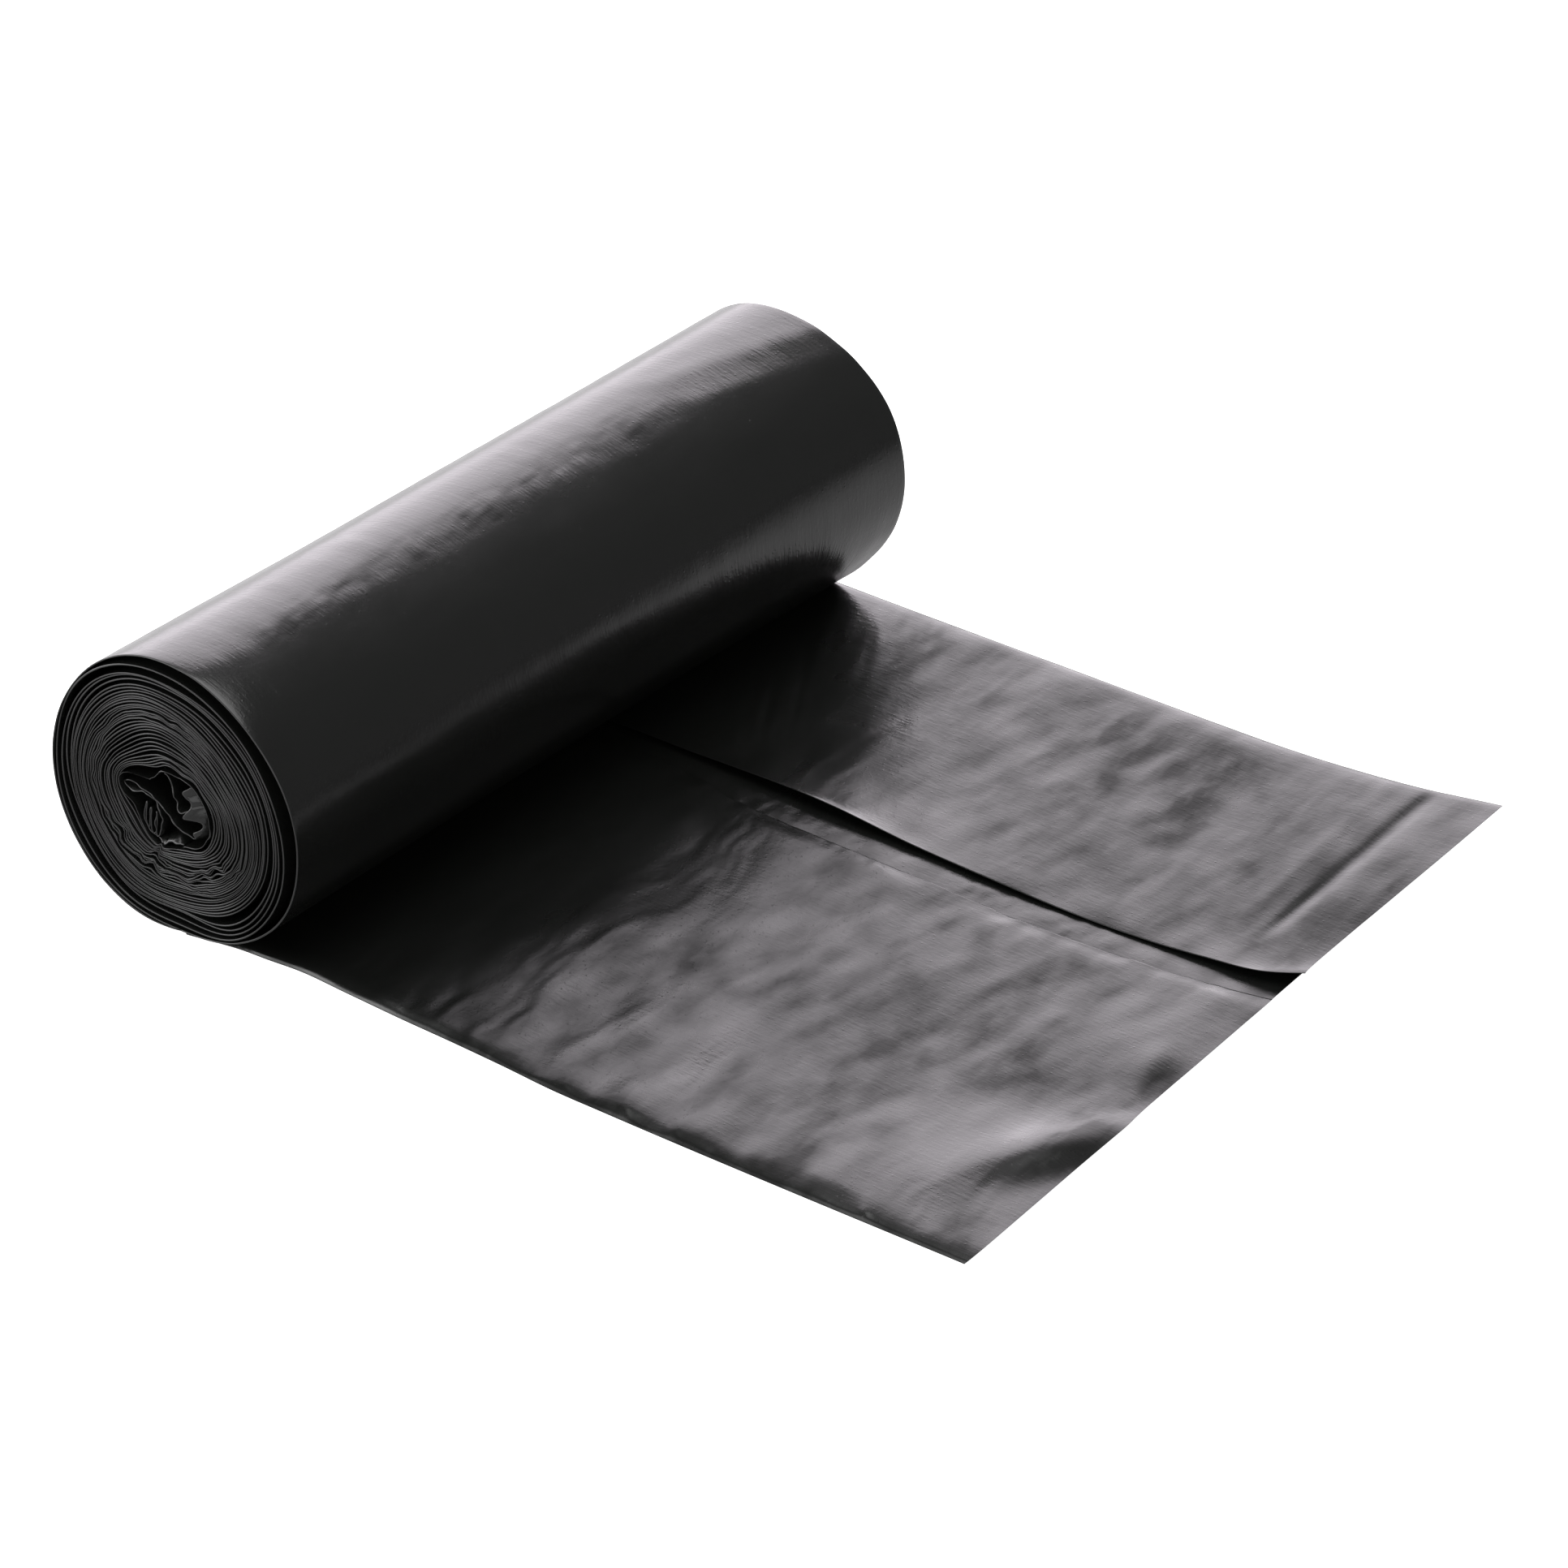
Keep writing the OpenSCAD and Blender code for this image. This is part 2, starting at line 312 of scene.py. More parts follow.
# %% Where the web's edges lie
DISH = 4.5
RIM_R = 57.5
DRIFT = ((-360, -185, -163, -140, -116, -93, -69, -45, -34, -20, -10, 0, 15, 40),
         (0.4, 0.4, 0.8, 2.6, 4.0, 5.0, 6.5, 7.8, 6.9, 6.0, 4.2, 2.2, 0.5, 0.0))
RAGGED = rng.uniform(0, 2 * np.pi, 6)


def drift(path):
    """How far the film's near edge is drawn in, against its path in mm from under the roll. A turn
    is about 360 mm long, so on the roll one degree counts as one millimetre."""
    return through(path, *DRIFT)


def set_back(u):
    """How far the web's edge lies behind the roll's end: more towards the middle, with a slow
    wander of a few tenths of a millimetre from turn to turn. Two turns stand proud at the top."""
    wander = sum(np.sin(2 * np.pi * rate * u + phase)
                 for rate, phase in zip((0.37, 0.61, 1.13, 2.3, 3.7, 5.9), RAGGED))
    dish = DISH * np.clip(1 - web_radius(u) / RIM_R, 0, 1) ** 0.6
    proud = 1.5 * peak((u - 1.41) / 0.07) + 0.8 * peak((u - 2.42) / 0.06)
    return dish + 0.16 * wander * ease(u) - proud


def bead(start, end, depth, points, at_near):
    """Section of a folded edge: a half circle as high as the web is thick, from the outer to the
    inner face at the far end, and back at the near end."""
    swing = np.pi * (np.arange(points) + 1) / (points + 1)
    radius = depth[:, None] / 2
    if at_near:
        return start + radius * (1 - np.sin(swing)), radius * (1 + np.cos(swing))
    return end - radius * (1 - np.sin(swing)), radius * (1 - np.cos(swing))


def strip_section(start, end, depth, outer_count, inner_count, bead_count):
    """x and depth of the closed section of a strip, ring by ring, from its near edges, far edges
    and thicknesses: outer face, far fold, inner face and near fold."""
    start, end = start[:, None], end[:, None]
    near_x, near_d = bead(start, end, depth, bead_count, True)
    far_x, far_d = bead(start, end, depth, bead_count, False)
    inside, outside = end - depth[:, None] / 2, start + depth[:, None] / 2
    outer_x = outside + (inside - outside) * np.linspace(0, 1, outer_count)
    inner_x = outside + (inside - outside) * np.linspace(1, 0, inner_count)
    x = np.hstack([outer_x, far_x, inner_x, near_x])
    return x, np.hstack([0 * outer_x, far_d, 0 * inner_x + depth[:, None], near_d])


def web_section(u, *counts):
    """Section of the wound web after u turns."""
    return strip_section(NEAR + set_back(u) + drift(360 * u), FAR - set_back(u), web_depth(u),
                         *counts)


# %% [markdown]
# ## Inner turns
#
# All turns but the outermost are one piece: the section above, carried along the spiral. Its long
# stretches are straight, so most of its points are spent on the round folds and along the spiral.

# %% Wind the inner turns
JOIN = 1.0


def wind_inner_turns():
    """Carry the web's section along the spiral, from the end of the outermost turn inwards."""
    rings = int((TURNS - JOIN) * STEPS)
    u = np.linspace(JOIN, TURNS, rings)
    x, depth = web_section(u, 4, 4, 4)
    points = web_point(u[:, None], x, depth)
    size = x.shape[1]
    return make_piece("inner_turns", points, grid_faces(rings, size, True)[:, ::-1],
                      [range(size), range(size * rings - 1, size * (rings - 1) - 1, -1)])


inner_turns = wind_inner_turns()

# %% [markdown]
# ## The web's inner end
#
# The last turn runs on as a slack end. It is folded to and fro against the back of the hollow, then
# crosses the hollow and lies crumpled along its front. A second strip hangs from the top. Both are
# film with rounded edges again, but thinner, and they waver along the roll.

# %% Crumple the inner end
INNER_END = (   # y and z at the near end, how far the film wavers and how far it leans inwards
    (1.9, 35.1, 0.0), (6.0, 34.4, 0.2, 3.5), (10.7, 32.8, 0.2, 3.5), (14.8, 34.2, 0.1),
    (18.6, 36.0, 0.1), (20.9, 38.8, 0.1), (20.9, 42.0, 0.1), (20.0, 46.6, 0.1), (19.4, 48.0, 0.1),
    (18.7, 47.0, 0.1), (19.4, 42.0, 0.1), (19.6, 38.6, 0.1), (19.0, 36.9, 0.1), (18.2, 38.0, 0.1),
    (18.3, 41.5, 0.1), (18.0, 45.0, 0.1), (17.3, 46.2, 0.1), (16.7, 45.0, 0.1), (17.1, 40.5, 0.1),
    (16.9, 36.6, 0.1), (16.3, 35.1, 0.1), (15.6, 36.4, 0.1), (15.7, 40.0, 0.1), (15.3, 44.4, 0.1),
    (14.7, 45.6, 0.1), (14.0, 43.6, 0.1), (14.5, 39.0, 0.1), (14.9, 35.8, 0.1), (14.5, 34.4, 0.2),
    (13.8, 35.6, 0.2), (12.6, 39.6, 0.2), (12.0, 42.6, 0.2), (13.8, 46.2, 0.2), (17.0, 49.4, 0.2),
    (20.0, 50.9, 0.2), (23.5, 49.4, 0.2, 1.5), (26.6, 48.9, 0.2, 2.5), (29.6, 50.2, 0.1),
    (30.6, 51.6, 0.1), (29.6, 53.0, 0.1), (27.2, 54.0, 0.1), (24.5, 53.2, 0.1), (21.9, 52.3, 0.1),
    (17.3, 50.9, 0.2), (13.6, 48.8, 0.2), (10.0, 46.0, 0.2), (6.3, 43.2, 0.2), (3.4, 41.0, 0.2),
    (-0.1, 40.0, 0.2), (-2.2, 39.4, 0.2), (-3.3, 41.0, 0.4, 4.5), (-3.6, 44.0, 0.5, 6.0),
    (-2.4, 47.3, 0.5, 7.0), (-0.6, 50.9, 0.5, 7.5), (-0.2, 55.7, 0.4, 5.5), (-1.1, 60.6, 0.3, 2.5))
HANGING = ((10.6, 62.4, 0.1), (8.5, 61.4, 0.2), (6.8, 57.0, 0.3), (5.4, 52.6, 0.3),
           (4.8, 50.7, 0.3), (3.8, 49.8, 0.2), (1.4, 49.9, 0.2), (-0.2, 50.6, 0.1))
STRIP_T = 0.62
STRIP_STEP = 0.7
STRIP_SET_BACK = 4.6     # of the strips' ends behind the roll's ends
FAR_SHARE = 0.96         # the hollow is a little narrower at the far end
LEAN_REACH = 2.4


def smooth_path(corners):
    """Points at equal steps along a line with rounded corners, from y, z, slack and lean at its
    corners. A corner given without a lean has none."""
    corners = np.array([(*corner, 0.0)[:4] for corner in corners])
    reach = np.concatenate([[0], np.cumsum(np.hypot(*np.diff(corners[:, :2], axis=0).T))])
    at = np.arange(0, reach[-1], STRIP_STEP)
    path = np.stack([np.interp(at, reach, column) for column in corners.T], -1)
    for _ in range(2):
        path[1:-1] = path[:-2] / 4 + path[1:-1] / 2 + path[2:] / 4
    return path


def lay_strip(corners):
    """Points of one strip: its section is carried along the path, and every point is moved
    across the film by its depth in the film, by the wavering and by the leaning, which grows to
    its full size within a few millimetres of the near edge."""
    path = smooth_path(corners)
    rings = len(path)
    run = np.gradient(path[:, :2], axis=0)
    run = run / np.hypot(*run.T)[:, None]
    along = np.arange(rings) * STRIP_STEP
    slack = path[:, 2]
    ragged = slack * 1.6 * field(along, 0 * along, 7, 7)
    thick = np.full(rings, STRIP_T)
    near_edge, far_edge = NEAR + STRIP_SET_BACK, FAR - STRIP_SET_BACK
    x, depth = strip_section(near_edge + ragged, far_edge - ragged, thick, 60, 60, 3)
    inwards = depth + slack[:, None] * (0.8 * field(along[:, None], x, 11, 30)
                                        + 0.6 * field(along[:, None], x, 4.5, 5))
    inwards = inwards + path[:, 3:] * (1 - np.exp((near_edge - x) / LEAN_REACH))
    t = (x - NEAR) / WEB_W
    share = 1 + t * (FAR_SHARE - 1)
    y = path[:, :1] - run[:, 1:] * inwards
    z = path[:, 1:2] + run[:, :1] * inwards
    y = NEAR_MIDDLE[0] + t * (FAR_MIDDLE[0] - NEAR_MIDDLE[0]) + share * (y - NEAR_MIDDLE[0])
    z = NEAR_MIDDLE[1] + t * (FAR_MIDDLE[1] - NEAR_MIDDLE[1]) + share * (z - NEAR_MIDDLE[1])
    return np.stack([x, y, z], -1)


def crumple_inner_end():
    """Both strips of slack film in the hollow, as one piece."""
    points, quads, caps, start = [], [], [], 0
    for corners in (INNER_END, HANGING):
        strip = lay_strip(corners)
        rings, size = strip.shape[:2]
        points.append(strip.reshape(-1, 3))
        quads.append(grid_faces(rings, size, True, start)[:, ::-1])
        last = start + size * (rings - 1)
        caps += [range(start, start + size), range(last + size - 1, last - 1, -1)]
        start += size * rings
    return make_piece("hollow_film", np.vstack(points), np.vstack(quads), caps)


hollow_film = crumple_inner_end()

# %% [markdown]
# ## Outermost turn
#
# The outermost turn carries the look of the roll, so it gets many points across its width. The
# film isn't quite tight: it has broad flats, fine lines round the roll and a few long low ridges
# beside its top. All fade out at the ends of the turn, where it meets the other pieces.

# %% Wind the outermost turn
NECK = dict(depth=1.9, angle=213, half=32, reach=9)   # drawn in at the near end, at the top
WAIST = 0.7              # the roll's middle is drawn in by as much
FADE_IN, FADE_OUT = 0.08, 0.05   # of a turn, at its start and end
RIDGES = (   # x and angle of both ends, height and half width in degrees
    (-200, 191, -40, 197, 0.22, 5.0), (85, 172, 190, 199, 0.30, 6.0),
    (85, 193, 190, 216, 0.24, 5.5), (-30, 186, 70, 206, 0.16, 6.0),
    (-190, 251, 190, 247, 0.10, 5.0))


def ridge_height(arc, x):
    """Long low ridges: each is a rounded hump about a line from one end to the other."""
    total = 0.0
    for x_from, arc_from, x_to, arc_to, height, half in RIDGES:
        share = (x - x_from) / (x_to - x_from)
        middle = arc_from + (arc_to - arc_from) * share
        total = total + height * peak((arc - middle) / half) * ease(6 * share) * ease(6 - 6 * share)
    return total


def wind_outer_turn():
    """The first turn, with its slack, ridges and waist, and its neck at the near end."""
    rings, across = 200, 190
    u = np.linspace(0, JOIN, rings)
    x, depth = web_section(u, across, 24, 6)
    arc = 360 * u[:, None]
    slack = 0.16 * field(arc, x, 60, 200) + 0.022 * field(arc, x, 34, 14)
    slack = slack + ridge_height(arc, x) + 0.02 * field(arc, x, 14, 70)
    dip = -WAIST * (1 - ((2 * x - NEAR - FAR) / WEB_W) ** 2)
    fade = ease(u / FADE_IN) * ease((JOIN - u) / FADE_OUT)
    neck = -NECK["depth"] * peak((arc - NECK["angle"]) / NECK["half"])
    neck = neck * np.exp((NEAR - x) / NECK["reach"])
    points = web_point(u[:, None], x, depth, (slack + dip) * fade[:, None] + neck)
    size = x.shape[1]
    return make_piece("outer_turn", points, grid_faces(rings, size, True)[:, ::-1],
                      [range(size), range(size * rings - 1, size * (rings - 1) - 1, -1)])


outer_turn = wind_outer_turn()

# %% [markdown]
# ## Drawn-out tail
#
# The tail is the web laid open: a base panel on the floor, a crease along each edge and two flaps
# that nearly meet. Its section is one line of film, from the near flap's free edge round to the
# far flap's free edge, with a second line inside it. Heights are small, but the film mirrors the
# light, so every degree of slope shows.

# %% Plan of the tail
PANEL_T = 0.3
CREASE_H = 0.8
CUT_NEAR = -351.7
CUT_MIDDLE = -335.7
CUT_SLOPE = 0.0937       # the cut runs askew
CUT_LEAN = 0.938         # what stands higher at the cut reaches further
LAST_RING = 0.0003       # of the length: keeps the bend of the normals at the cut very short
START_Y = 0.0
UNDER_R = 56.8           # radius of the roll's underside
NEAR_FREE_EDGE = ((-338, -320, -290, -240, -190, -130, -100, -75, 0),
                  (29.5, 26.0, 21.5, 17.8, 19.0, 20.2, 21.8, 26.8, 28.0))
FAR_FREE_EDGE = ((-338, -325, -300, -273, -250, -205, -190, -130, -65, 0),
                 (44.0, 39.0, 36.2, 34.2, 33.0, 33.0, 33.6, 36.2, 38.0, 38.0))
FAR_EDGE_H = ((-340, -325, -300, -205, -170, -130, -60), (8.4, 5.0, 2.6, 2.5, 2.9, 5.0, 3.0))
FAR_BULGE = ((-340, -200, -60), (3.6, 3.6, 2.4))
CURL = ((-350, -337, -320, -291, -262, -232, -200), (16.5, 14.7, 11.0, 5.3, 2.2, 0.5, 0.0))
CURL_FROM = 40
PUCKERS = ((-125, 0.2), (-168, 0.55), (-181, 0.25), (-194.5, 0.6), (-215, 0.55), (-236, 0.3),
           (-252, 0.3), (-294, 0.6))


def underside(y):
    """Height of the roll's underside at y, in front of its axis."""
    reach = np.clip(y - NEAR_MIDDLE[0], 0.1 - UNDER_R, 0)
    return np.where(y < -50, 60.0, NEAR_MIDDLE[1] - np.sqrt(UNDER_R ** 2 - reach ** 2))


def pressed(height, y):
    """Height of the film where the roll doesn't press it lower."""
    return np.minimum(height, np.maximum(underside(y) - 0.3, 2 * PANEL_T + 0.1))


def lift(x, y):
    """Lift of the whole film at the far corner, which curls up."""
    return through(y, *CURL) * ease((x - CURL_FROM) / (FAR - CURL_FROM)) ** 1.3


# %% [markdown]
# ### Slack in the tail
#
# The slack is a height over the floor plan, mostly of a millimetre or less: long streaks across the
# web, closest beside the roll and by the near crease, a fan of lines where the far flap leaves the
# roll, broad shallow patches, small mottles on the far flap, a ridge and a valley across the lifted
# corner, and a swell of a few millimetres with dents beside the cut.

# %% Heights of the slack
SWELLS = (   # x, y, slope of the long side, half widths along x and y, height
    (-130, -354, 0.0, 32, 34, 1.5), (-102, -322, -0.42, 26, 12, 5.0), (-76, -340, -0.3, 8, 9, 1.8),
    (-48, -336, 0.15, 16, 8, -1.8), (-30, -322, 0.15, 14, 6, 0.8),
    (-150, -250, 0.3, 30, 14, 0.6), (-20, -250, -0.2, 30, 4, 0.3),
    (112, -325, 0.1, 12, 6, -0.5), (62, -188, 0.1, 14, 3, 0.2))
CROSS_LINES = (   # place at x = 60, slope, half width and height of lines across the far flap
    (-299, 0.03, 4.0, 0.4), (-311.5, -0.01, 2.8, -1.05), (-321, 0.0, 5.0, 0.3))


def slack_height(x, y):
    """Sum of the slack's parts, each a random field or a row of humps, in mm."""
    beside_roll = peak((y + 114) / 17) * (0.4 + 0.6 * ease((60 - x) / 60))
    by_crease = peak((x - NEAR) / 55)
    bent = y + 2.5 * field(x, y, 70, 50) + 1.2 * field(x, y, 22, 18)
    streaks = field(x, bent, 45, 7) * (0.016 + 0.035 * beside_roll + 0.04 * by_crease)
    streaks = streaks + field(x + 0.3 * y, bent, 70, 17) * (0.05 + 0.05 * beside_roll)
    fan = field(0.87 * x + 0.5 * y, 0.87 * y - 0.5 * x, 70, 6) * 0.09
    streaks = streaks + fan * peak((y + 62) / 34) * ease((x - 45) / 40)
    patches = 0.30 * field(x, y, 95, 60) + 0.10 * field(x + 0.6 * y, y - 0.6 * x, 60, 25)
    mottles = field(x, y, 19, 15) * (0.015 + 0.055 * ease((x - 60) / 40) * peak((y + 225) / 60))
    swells = sum(height * peak((x - at_x) / wide) * peak((y - at_y - slope * (x - at_x)) / long)
                 for at_x, at_y, slope, wide, long, height in SWELLS)
    lines = sum(height * peak((y - place - slope * (x - 60)) / half)
                for place, slope, half, height in CROSS_LINES)
    return (streaks + (patches + mottles) * ease((-y - 40) / 60) + swells
            + lines * ease((x - 50) / 30))


def pucker_height(x, y, edge):
    """Small fans that start at the near crease, widen inwards and fade within a centimetre."""
    inward = np.clip(x - edge, 0, None)
    total = 0.0
    for at, size in PUCKERS:
        fan = peak((y - at - 0.45 * inward) / (1.1 + 0.22 * inward))
        total = total + size * fan * ease(inward / 3) * np.exp(-np.clip(inward - 3, 0, None) / 4)
    return total


def flap_height(inward, bulge):
    """Height of a flap's upper face: it leaves the crease low, rises within a few millimetres and
    then sinks slowly."""
    rise = bulge * (1 - np.exp(-inward / 1.4)) * np.exp(-inward / 110)
    return CREASE_H + rise + 0.35 * ease(inward / 8)


def gap_height(x, y):
    """Height of the base panel's upper face: raised and crumpled where the gap lays it bare."""
    bare = peak((x - 27) / 8)
    rumple = 0.16 * field(y, x, 13, 12) + 0.08 * field(y + 0.4 * x, x, 5.5, 9)
    rumple = rumple * (0.4 + peak((y + 212) / 12) + peak((y + 250) / 9) + peak((y + 105) / 15))
    return PANEL_T + np.maximum(bare * (0.35 + rumple), 0)


# %% Sections of the tail
FLAP, FOLD, BASE = 88, 6, 72


def crowded(count):
    """Places from 0 to 1 that lie closest at both ends: s less 0.7 sin(2 pi s) / (2 pi)."""
    s = np.linspace(0, 1, count)
    return s - 0.7 * np.sin(2 * np.pi * s) / (2 * np.pi)


def tail_section(y):
    """x and z of the outer line of the section, ring by ring, for a column of places y."""
    near_edge = NEAR + drift(y)
    radius = CREASE_H / 2
    near_free, far_free = through(y, *NEAR_FREE_EDGE), through(y, *FAR_FREE_EDGE)
    near_x = near_free + (near_edge + radius - near_free) * crowded(FLAP)
    far_x = far_free + (FAR - radius - far_free) * crowded(FLAP)
    inward = near_x - near_edge
    near_z = flap_height(inward, 1.5 + 0.25 * field(y, 0 * y, 30, 30))
    full_slack_at = 5 + 6 * ease((-y - 225) / 30)
    near_z = near_z + (slack_height(near_x, y) + 0.4) * ease(inward / full_slack_at)
    near_z = np.maximum(near_z + pucker_height(near_x, y, near_edge), CREASE_H)
    ripple = 1.25 + 0.16 * field(y, 0 * y, 15, 15) + 0.07 * field(y, 0 * y, 6, 6)
    near_z = near_z + (ripple - near_z) * peak((near_x - near_free) / 5)
    inward = FAR - far_x
    far_z = flap_height(inward, through(y, *FAR_BULGE))
    far_z = np.maximum(far_z + (slack_height(far_x, y) + 0.3) * ease(inward / 14), CREASE_H)
    from_edge = far_x - far_free
    far_z = far_z + (through(y, *FAR_EDGE_H) - far_z) * np.exp(-from_edge / 7)
    swing = np.pi * (np.arange(FOLD) + 1) / (FOLD + 1)
    near_base, far_base = near_edge + radius, FAR - radius + 0 * near_edge
    base_s = np.linspace(0, 1, BASE)
    base_s = base_s + 0.11 * np.sin(2 * np.pi * base_s) + 0.02 * np.sin(4 * np.pi * base_s)
    base_x = near_base + (far_base - near_base) * base_s
    flat = 0 * y
    x = np.hstack([near_x, near_edge + radius * (1 - np.sin(swing)), base_x,
                   FAR - radius * (1 - np.sin(swing)) + flat, far_x[:, ::-1]])
    z = np.hstack([near_z, flat + radius * (1 + np.cos(swing)), 0 * base_x,
                   flat + radius * (1 - np.cos(swing)), far_z[:, ::-1]])
    return x, z


def draw_tail():
    """The section's outer line and, one film thickness inside it, its inner line, carried along
    the tail. The outer line is dense on the flaps and the inner one on the base panel."""
    rings = 236
    s = np.linspace(0, 1, rings)[:, None]
    s[-2] = 1 - LAST_RING
    rough_y = START_Y + (CUT_MIDDLE - START_Y) * s
    x, z = tail_section(rough_y)
    z = pressed(z, rough_y)
    dx, dz = np.gradient(x, axis=1), np.gradient(z, axis=1)
    length = np.hypot(dx, dz) + 1e-9
    inner_x, inner_z = x - PANEL_T * dz / length, z + PANEL_T * dx / length
    base = np.arange(FLAP + FOLD, FLAP + FOLD + BASE)
    roof = pressed(gap_height(x[:, base], rough_y), rough_y)
    inner_z[:, base] = np.minimum(roof, np.maximum(underside(rough_y) - 1.0, PANEL_T))
    total = x.shape[1]
    outer = np.r_[0:base[0], base[::9], base[-1] + 1:total]
    inner = np.r_[0:FLAP - 1:2, FLAP - 1:total - FLAP, total - FLAP + 1:total:2]
    inner = inner[::-1]
    x = np.hstack([x[:, outer], inner_x[:, inner]])
    z = np.hstack([z[:, outer], np.maximum(inner_z[:, inner], 0.05)])
    y = START_Y + (CUT_NEAR + CUT_SLOPE * (x - NEAR) - START_Y) * s
    z = z + lift(x, y)
    y = y - CUT_LEAN * z * s ** 6
    points = np.stack([x, y, z], -1)
    size = x.shape[1]
    return make_piece("tail", points, grid_faces(rings, size, True),
                      [range(size - 1, -1, -1), range(size * (rings - 1), size * rings)])


tail = draw_tail()

# %% [markdown]
# ### Where the film is dull
#
# The drawn-out sack has been handled. Each point of the tail carries an amount of dullness: a
# middling value, slow random changes, and a few places that stayed bright or were rubbed dull.
# The roll is smudged only along a band below its top.

# %% Dull and bright places
RUBBED = (   # x, y, half widths along x and y, amount of dullness added
    (-118, -306, 44, 22, -0.65), (-110, -338, 20, 8, 0.6),
    (-175, -185, 7, 110, 0.55), (-72, -300, 20, 22, 0.3), (-95, -243, 36, 16, 0.12),
    (152, -85, 36, 34, 0.3), (155, -182, 22, 26, 0.3), (150, -242, 34, 26, 0.22),
    (52, -152, 14, 42, -0.45), (172, -140, 10, 110, -0.5),
    (-125, -196, 48, 9, -0.30), (-20, -152, 30, 26, -0.15), (-20, -308, 34, 18, -0.30),
    (140, -336, 40, 8, -0.25), (27, -230, 7, 110, -0.2), (-58, -265, 38, 36, 0.28),
    (-62, -205, 30, 16, 0.15), (120, -215, 45, 26, 0.22), (62, -240, 12, 45, 0.15),
    (-166, -262, 14, 16, 0.35), (-97, -340, 17, 8, 0.75), (-46, -338, 14, 6, 0.5),
    (106, -329, 16, 6, 0.45), (60, -290, 14, 30, 0.1), (-100, -150, 50, 12, 0.1))


def dullness(x, y, z):
    """Dullness from 0 to 1 at places of the tail. It fades towards the roll."""
    amount = 0.49 + 0.10 * field(x, y + 0.2 * x, 70, 20) + 0.06 * field(x, y, 26, 18)
    for at_x, at_y, wide, long, added in RUBBED:
        amount = amount + added * peak((x - at_x) / wide) * peak((y - at_y) / long)
    return np.clip(amount, 0, 1) * ease((-y - 75 + 45 * ease((x - 80) / 60)) / 55)


SMUDGES = dict(angle=12, half=9.5, x_from=-160, x_to=120, amount=0.6)


def smudge(x, y, z):
    """Dullness at places of the roll: a patchy band at an angle from its top to the front."""
    angle = np.degrees(np.arctan2(NEAR_MIDDLE[0] - y, z - NEAR_MIDDLE[1]))
    patchy = 1 + 0.35 * field(x, angle, 45, 11) + 0.25 * field(x, angle, 14, 6)
    ends = ease((x - SMUDGES["x_from"]) / 30) * ease((SMUDGES["x_to"] - x) / 50)
    amount = SMUDGES["amount"] * peak((angle - SMUDGES["angle"]) / SMUDGES["half"])
    return np.clip(amount * patchy * ends, 0, 1)


def rub(piece, amount_at):
    """Give each point of a piece its dullness."""
    places = np.empty(3 * len(piece.data.vertices))
    piece.data.vertices.foreach_get("co", places)
    dull = amount_at(*places.reshape(-1, 3).T / MM)
    piece.data.attributes.new("dull", "FLOAT", "POINT").data.foreach_set("value", dull)
    print(piece.name, "mean dullness", round(float(dull.mean()), 2))


rub(tail, dullness)
rub(outer_turn, smudge)

# %% [markdown]
# ## Finish of the film
#
# Heavy black film is glossy but not clear. It has fine lines along the way it was drawn, an
# orange-peel skin with small pimples, and a little dust. All of it is procedural and reads Object
# coordinates and the tail's dullness. The lines run round the roll and along the tail alike,
# because the noise changes quickly only along X.

# %% Film material
def add_node(tree, kind, inputs=(), **settings):
    """A shader node with its settings, and its inputs set or linked."""
    node = tree.nodes.new(kind)
    for key, value in settings.items():
        setattr(node, key, value)
    for key, value in dict(inputs).items():
        if isinstance(value, bpy.types.NodeSocket):
            tree.links.new(value, node.inputs[key])
        else:
            node.inputs[key].default_value = value
    return node


def noise(tree, place, stretch, scale, detail):
    """Noise between 0 and 1, with its place scaled along X, Y and Z first."""
    spread = add_node(tree, "ShaderNodeMapping", {"Vector": place, "Scale": stretch})
    return add_node(tree, "ShaderNodeTexNoise", {"Vector": spread.outputs[0], "Scale": scale,
                                                 "Detail": detail}).outputs["Fac"]


def bring(tree, value, low, high, to_low, to_high):
    """A value between low and high, brought to a new range and held within it."""
    return add_node(tree, "ShaderNodeMapRange", {"Value": value, "From Min": low, "From Max": high,
                                                 "To Min": to_low, "To Max": to_high}).outputs[0]


def combine(tree, operation, first, second=0.0):
    """The result of one math node."""
    return add_node(tree, "ShaderNodeMath", {0: first, 1: second}, operation=operation).outputs[0]


def relief(tree, place):
    """Height of the skin in mm: drawn lines, fine scratches, orange peel, pimples and specks."""
    total = 0.0
    for stretch, scale, detail, height in ((0.09, 200, 3, 0.07), (0.13, 1000, 1, 0.05),
                                           (0.8, 560, 2, 0.05)):
        waves = noise(tree, place, (1, stretch, stretch), scale, detail)
        total = combine(tree, "ADD", combine(tree, "MULTIPLY", waves, height), total)
    for scale, reach, height in ((380, 0.21, 0.045), (75, 0.022, 0.12)):
        cells = add_node(tree, "ShaderNodeTexVoronoi", {"Vector": place, "Scale": scale})
        dots = bring(tree, cells.outputs["Distance"], 0.0, reach, height, 0.0)
        total = combine(tree, "ADD", total, dots)
    return total


